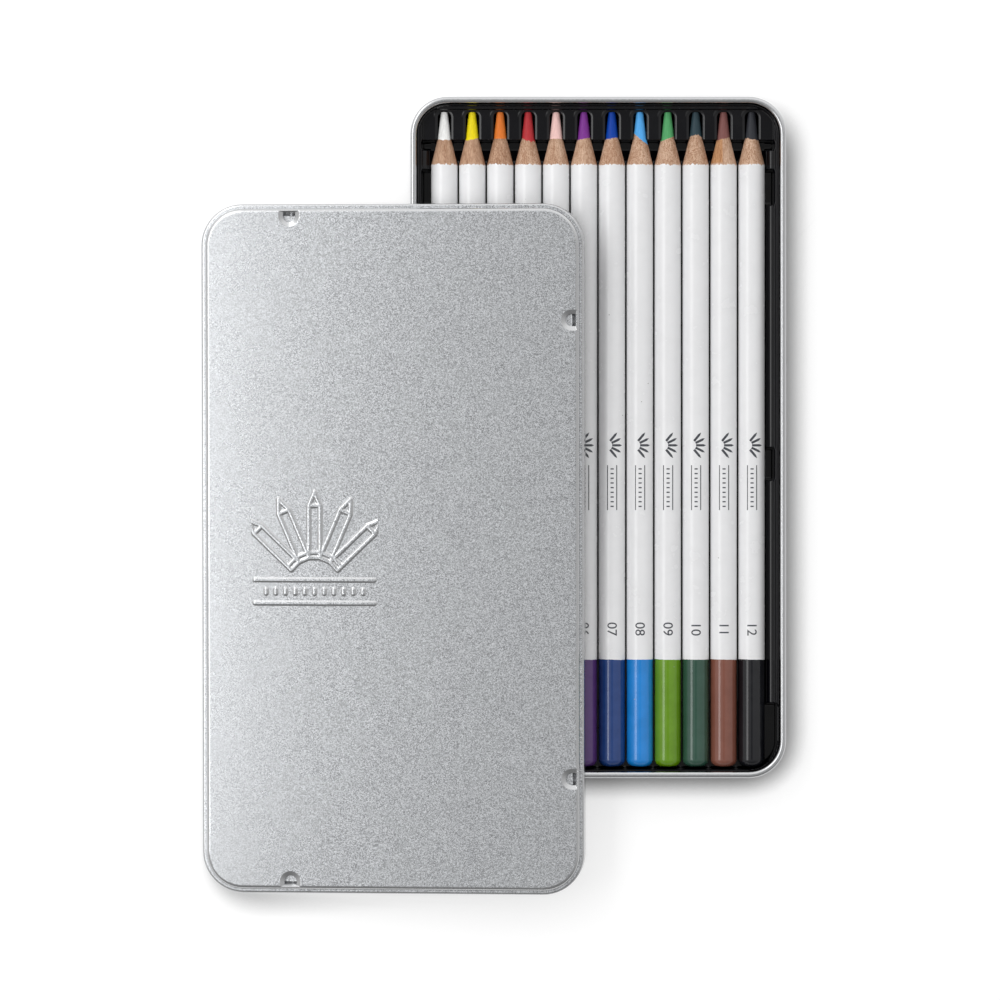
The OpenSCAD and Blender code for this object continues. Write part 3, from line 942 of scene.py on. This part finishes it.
point = {
    "seed": 100,
    "sides": 48,
    "rings": 26,
    "buried": 4,  # straight stretch of the core, below the wood's edge
    "bluntRadius": 0.9,
    "edgeRound": 0.22,
    "edgeSteps": 4,
    "flatRadius": 0.35,  # of the last ring
    "unevenness": 0.035,
    "lobes": (3, 5),  # waves round the point
    "secondLobe": 0.6,  # beside the first
    "twist": 0.8,  # of the second along the core, in radians per millimetre
    "tipTilt": 0.096,
    "tipDrop": 1.4,  # keeps the tilted end from passing the tip
    "tipWear": 6,  # how close to the end the tilt stays
}


def coreStations(pencil):
    # places along a core and its radius there
    end, rings, steps = pencil["tip"], point["rings"], point["edgeSteps"]
    blunt, corner = point["bluntRadius"], point["edgeRound"]
    stations = [(pencil["coreStart"], 0), (pencil["coreStart"], pencil["coreRadius"]),
                (pencil["coreEdge"] - point["buried"], pencil["coreRadius"])]
    for k in range(rings + 1):
        y = pencil["coreEdge"] + (end - corner - pencil["coreEdge"]) * k / rings
        stations.append((y, pencil["coreRadius"] + (blunt - pencil["coreRadius"]) * k / rings))
    for k in range(1, steps + 1):
        turn = math.radians(90 * k / steps)
        stations.append((end - corner * (1 - math.sin(turn)), blunt - corner * (1 - math.cos(turn))))
    return stations + [(end, point["flatRadius"])]


def makeCore(pencil):
    # a core with a worn, slightly uneven point, turned round the pencil's axis
    rng = random.Random(point["seed"] + pencil["number"])
    tilt = (rng.uniform(-1, 1), rng.uniform(-1, 1))
    phases = (rng.uniform(0, 2 * math.pi), rng.uniform(0, 2 * math.pi))
    sides = point["sides"]
    first, second = point["lobes"]
    stations = coreStations(pencil)
    points = []
    for y, radius in stations:
        wearAndWashout = smoothStep((y - pencil["coreEdge"]) / (pencil["tip"] - pencil["coreEdge"]))
        for s in range(sides):
            angle = 2 * math.pi * s / sides
            wave = math.sin(first * angle + phases[0])
            wave += point["secondLobe"] * math.sin(second * angle + phases[1] + y * point["twist"])
            dent = 0.5 + 0.5 * wave / (1 + point["secondLobe"])
            r = radius * (1 - point["unevenness"] * wearAndWashout * dent)
            lean = tilt[0] * math.cos(angle) + tilt[1] * math.sin(angle) - point["tipDrop"]
            drop = point["tipTilt"] * lean * r / point["bluntRadius"] * wearAndWashout ** point["tipWear"]
            spot = (pencil["x"] + r * math.cos(angle), y + drop, pencil["z"] + r * math.sin(angle))
            points.append([c * mm for c in spot])
    faces = []
    for ring in range(len(stations) - 1):
        for s in range(sides):
            a, b = ring * sides + s, ring * sides + (s + 1) % sides
            faces.append((a, a + sides, b + sides, b))
    faces.append(tuple(range(sides)))
    faces.append(tuple(reversed(range(len(points) - sides, len(points)))))
    obj = addPiece(f"worn_core_{pencil['number']:02d}", points, faces)
    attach(obj, pencil["body"])
    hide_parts(pencil["body"] + "_core")
    return obj


# printing on the barrels

inkLook = {
    "finish": {"Coat Weight": 0.3, "Coat Roughness": 0.1},
    "color": (58, 60, 66),
    "thin": 1.9,  # how much lighter it is where it is thin
    "patchScale": 2.5,
    "patchDetail": (2.0, 0.6),
    "thinRange": (0.4, 0.75),
    "roughRange": (0.2, 0.8),
    "roughness": (0.3, 0.45),
}

printing = {
    "lift": 0.012,  # over the lacquer
    "numberHeight": 2.6,
    "digitShare": 0.7,  # of a font's size that a digit is high
    "resolution": 6,
    "numberBold": 0.012,  # how much the strokes are thickened
    "numberEnd": -53.0,  # where the numbers end, along the tin
    "ornamentStart": 2.0,
    "ruleStart": 9.4,  # from the ornament's start
    "ruleLength": 12,
    "rules": (-1.25, 1.25),
    "stroke": 0.26,
    "ticks": 9,
    "tickGap": 1.25,
    "tickHalf": 0.42,
    "tickWidth": 0.338,
    "fanPencils": 5,
    "fanSpread": 100,
    "fanInner": 1.5,
    "fanLength": 3.0,
    "fanShoulder": 0.72,  # of that length up to the points
    "fanWidth": 0.62,
    "fanPlace": (4.1, -1.5),
    "maxEdge": 0.3,
    "maxRounds": 6,
}


def splitLong(points, faces, longest):
    # halves edges until none is longer, so that a flat figure can be bent round a barrel
    mesh = bpy.data.meshes.new("flat")
    mesh.from_pydata(points, [], faces)
    work = bmesh.new()
    work.from_mesh(mesh)
    bmesh.ops.triangulate(work, faces=work.faces[:])
    for _ in range(printing["maxRounds"]):
        long = [edge for edge in work.edges if edge.calc_length() > longest]
        if not long:
            break
        bmesh.ops.subdivide_edges(work, edges=long, cuts=1)
        bmesh.ops.triangulate(work, faces=[f for f in work.faces if len(f.verts) > 3])
    work.verts.index_update()
    result = [tuple(v.co) for v in work.verts], [[v.index for v in f.verts] for f in work.faces]
    work.free()
    bpy.data.meshes.remove(mesh)
    return result


def strip(start, end, width):
    start, end = np.array(start, float), np.array(end, float)
    run = (end - start) / np.linalg.norm(end - start)
    side = np.array((-run[1], run[0])) * width / 2
    return [start - side, end - side, end + side, start + side]


def ornamentFigure():
    # a small fan of pencils and two rules with ticks; the first coordinate runs along the barrel
    points, faces = [], []

    def add(corners):
        first = len(points)
        points.extend((c[0], c[1], 0) for c in corners)
        faces.append(tuple(range(first, first + len(corners))))
    root = np.array(printing["fanPlace"])
    for along, across in fanDirections(printing["fanPencils"], printing["fanSpread"]):
        side = across * printing["fanWidth"] / 2
        inner = root + along * printing["fanInner"]
        shoulder = inner + along * printing["fanLength"] * printing["fanShoulder"]
        end = inner + along * printing["fanLength"]
        add([inner - side, shoulder - side, end, shoulder + side, inner + side])
    start, length = printing["ruleStart"], printing["ruleLength"]
    for offset in printing["rules"]:
        add(strip((start, offset), (start + length, offset), printing["stroke"]))
    for u in evenly(printing["ticks"], printing["tickGap"]):
        middle, half = start + length / 2 + u, printing["tickHalf"]
        add(strip((middle, -half), (middle, half), printing["tickWidth"]))
    return points, faces


def numberFigure(text):
    curve = bpy.data.curves.new("number", "FONT")
    curve.body = text
    curve.size = printing["numberHeight"] / printing["digitShare"]
    curve.align_x = "RIGHT"
    curve.offset = printing["numberBold"]
    curve.resolution_u = printing["resolution"]
    obj = addObject("number", curve)
    bpy.context.view_layer.update()
    mesh = bpy.data.meshes.new_from_object(obj)
    points = [tuple(v.co) for v in mesh.vertices]
    faces = [tuple(face.vertices) for face in mesh.polygons]
    bpy.data.objects.remove(obj)
    bpy.data.curves.remove(curve)
    bpy.data.meshes.remove(mesh)
    middle = (min(p[1] for p in points) + max(p[1] for p in points)) / 2
    return [(p[0], p[1] - middle, 0) for p in points], faces


def wrapRound(name, figure, pencil, start):
    # bends a flat figure round the barrel; its first coordinate runs from start to the blunt end
    points, faces = splitLong(*figure, printing["maxEdge"])
    r = pencil["radius"] + printing["lift"]
    wrapped = []
    for u, v, _ in points:
        angle = v / pencil["radius"]
        wrapped.append(((pencil["x"] + r * math.sin(angle)) * mm, (start - u) * mm,
                        (pencil["z"] + r * math.cos(angle)) * mm))
    return addPiece(name, wrapped, faces)


def makeInk():
    material, tree, shader = openMaterial("printingInk", inkLook["finish"])
    patchy = noise(tree, objectSpace(tree), inkLook["patchScale"], *inkLook["patchDetail"])
    ink = fromScreen(*inkLook["color"])
    color = mixColor(tree, remap(tree, patchy, *inkLook["thinRange"]), ink, shade(ink, inkLook["thin"]))
    rough = remap(tree, patchy, *inkLook["roughRange"], *inkLook["roughness"])
    fill(tree, shader, {"Base Color": color, "Roughness": rough})
    return material


random.seed(7)
ink = makeInk()
for i, look in enumerate(pencils, start=1):
    body = f"pencil_{i:02d}"
    pencil = {**look, **readPencil(body), "number": i}
    pointMaterial = makePointMaterial(pencil)
    dress(nodes[body + "_wood"], pointMaterial)
    dress(makeCore(pencil), pointMaterial)
    dress(nodes[body + "_lacquer"], makeBarrelMaterial(pencil))
    dress(nodes[body + "_dip"], makeDipMaterial(pencil))
    number = wrapRound(f"number_{i:02d}", numberFigure(f"{i:02d}"), pencil, printing["numberEnd"])
    ornament = wrapRound(f"ornament_{i:02d}", ornamentFigure(), pencil, printing["ornamentStart"])
    for piece in (number, ornament):
        dress(piece, ink)
        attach(piece, body)
print("pencils done")


# studio

studio = {
    "room": 0.67,  # how bright the room is to the right
    "left": 0.08,  # how much brighter it is to the left
    "leftRange": (0.1, -0.8),
    "points": 0.6,  # and on the side that the pencils point to
    "blunt": 0.4,  # how much darker on the side of the blunt ends
    "endRange": 0.8,  # of the change towards either end
    "overhead": 0.28,  # round the camera
    "overheadFrom": 9.5,  # degrees from straight up
    "overheadFull": 6,
    "boxHeight": 0.5,  # of the level softboxes, in metres
    "softboxes": [  # where each lies, and its radiance
        {"name": "leftSoftbox", "x": (-0.35, -0.26), "y": (-0.22, 0.25), "radiance": 3.4},
        {"name": "leftFill", "x": (-0.52, -0.35), "y": (-0.22, 0.25), "radiance": 2.3},
        {"name": "cornerSoftbox", "x": (-0.5, -0.25), "y": (0.25, 0.6), "radiance": 3.3},
    ],
    "floorHalf": 40,  # half its side, in metres
    "floorColor": 0.48,
    "floorLift": 0.62,  # added where the floor is seen, up to white; held back near things, which paints a shadow on top of the floor's real shading
    # painted shadow: occlusion is sampled round this direction, up and towards the left and the points'
    # end, so the held-back lift paints shade right of things and towards the blunt ends
    "paintedShadowAim": (-0.5, 0.5, 0.7),
    "paintedShadowReach": 0.0095,  # how near a thing must be to paint shadow on the floor, in metres
    "paintedShadowRange": (0.44, 0.88),
    "paintedShadowSamples": 16,
}


def makeWorld():
    world = bpy.data.worlds.new("studio")
    bpy.context.scene.world = world
    world.use_nodes = True
    tree = world.node_tree
    background = tree.nodes["Background"]
    direction = addNode(tree, "TexCoord").outputs["Generated"]
    x, y, z = addNode(tree, "SeparateXYZ", {0: direction}).outputs
    level = calc(tree, "ADD", studio["room"], remap(tree, x, *studio["leftRange"], 0, studio["left"]))
    level = calc(tree, "ADD", level, remap(tree, y, 0, studio["endRange"], 0, studio["points"]))
    level = calc(tree, "SUBTRACT", level, remap(tree, y, 0, -studio["endRange"], 0, studio["blunt"]))
    start, full = (math.cos(math.radians(studio[key])) for key in ("overheadFrom", "overheadFull"))
    above = remap(tree, z, start, full)
    level = calc(tree, "MULTIPLY", level, calc(tree, "SUBTRACT", 1.0, above))
    level = calc(tree, "MULTIPLY_ADD", above, studio["overhead"], level)
    seen = addNode(tree, "LightPath").outputs["Is Camera Ray"]
    fill(tree, background, {"Color": mixColor(tree, seen, level, (1, 1, 1, 1)), "Strength": 1.0})


def makeSoftbox(box):
    width = box["x"][1] - box["x"][0]
    length = box["y"][1] - box["y"][0]
    light = bpy.data.lights.new(box["name"], "AREA")
    light.shape = "RECTANGLE"
    light.size = width
    light.size_y = length
    light.energy = box["radiance"] * math.pi * width * length
    obj = addObject(box["name"], light)
    obj.location = (sum(box["x"]) / 2, sum(box["y"]) / 2, studio["boxHeight"])


def makeFloor():
    half = studio["floorHalf"]
    obj = addPiece("floor", [(-half, -half, 0), (half, -half, 0), (half, half, 0), (-half, half, 0)],
                   [(0, 1, 2, 3)])
    material = bpy.data.materials.new("paleFloor")
    material.use_nodes = True
    tree = material.node_tree
    tree.nodes.remove(tree.nodes["Principled BSDF"])
    output = tree.nodes["Material Output"]
    grey = studio["floorColor"]
    path = addNode(tree, "LightPath").outputs
    seen = calc(tree, "ADD", path["Is Camera Ray"], path["Is Glossy Ray"])
    seen = calc(tree, "ADD", seen, path["Is Transmission Ray"], clamp=True)
    matt = addNode(tree, "BsdfDiffuse", {"Color": (grey, grey, grey, 1)})
    # painted shadow: occlusion round a tilted direction holds back the floor's lift near things
    towards = Vector(studio["paintedShadowAim"]).normalized()
    towards = addNode(tree, "CombineXYZ", dict(enumerate(towards))).outputs[0]
    around = addNode(tree, "AmbientOcclusion", {"Distance": studio["paintedShadowReach"], "Normal": towards},
                     samples=studio["paintedShadowSamples"])
    shut, full = studio["paintedShadowRange"]
    scale = 1 / (full - shut)
    outsidePaintedShadow = calc(tree, "MULTIPLY_ADD", around.outputs["AO"], scale, -shut * scale, clamp=True)
    extra = calc(tree, "MULTIPLY", calc(tree, "MULTIPLY", seen, outsidePaintedShadow), studio["floorLift"])
    lift = addNode(tree, "Emission", {"Strength": extra})
    total = addNode(tree, "AddShader", {0: matt.outputs[0], 1: lift.outputs[0]})
    fill(tree, output, {"Surface": total.outputs[0]})
    dress(obj, material)


makeCamera()
makeWorld()
for box in studio["softboxes"]:
    makeSoftbox(box)
makeFloor()
bpy.context.scene.view_settings.view_transform = "Standard"
print("studio done")

bpy.context.view_layer.update()
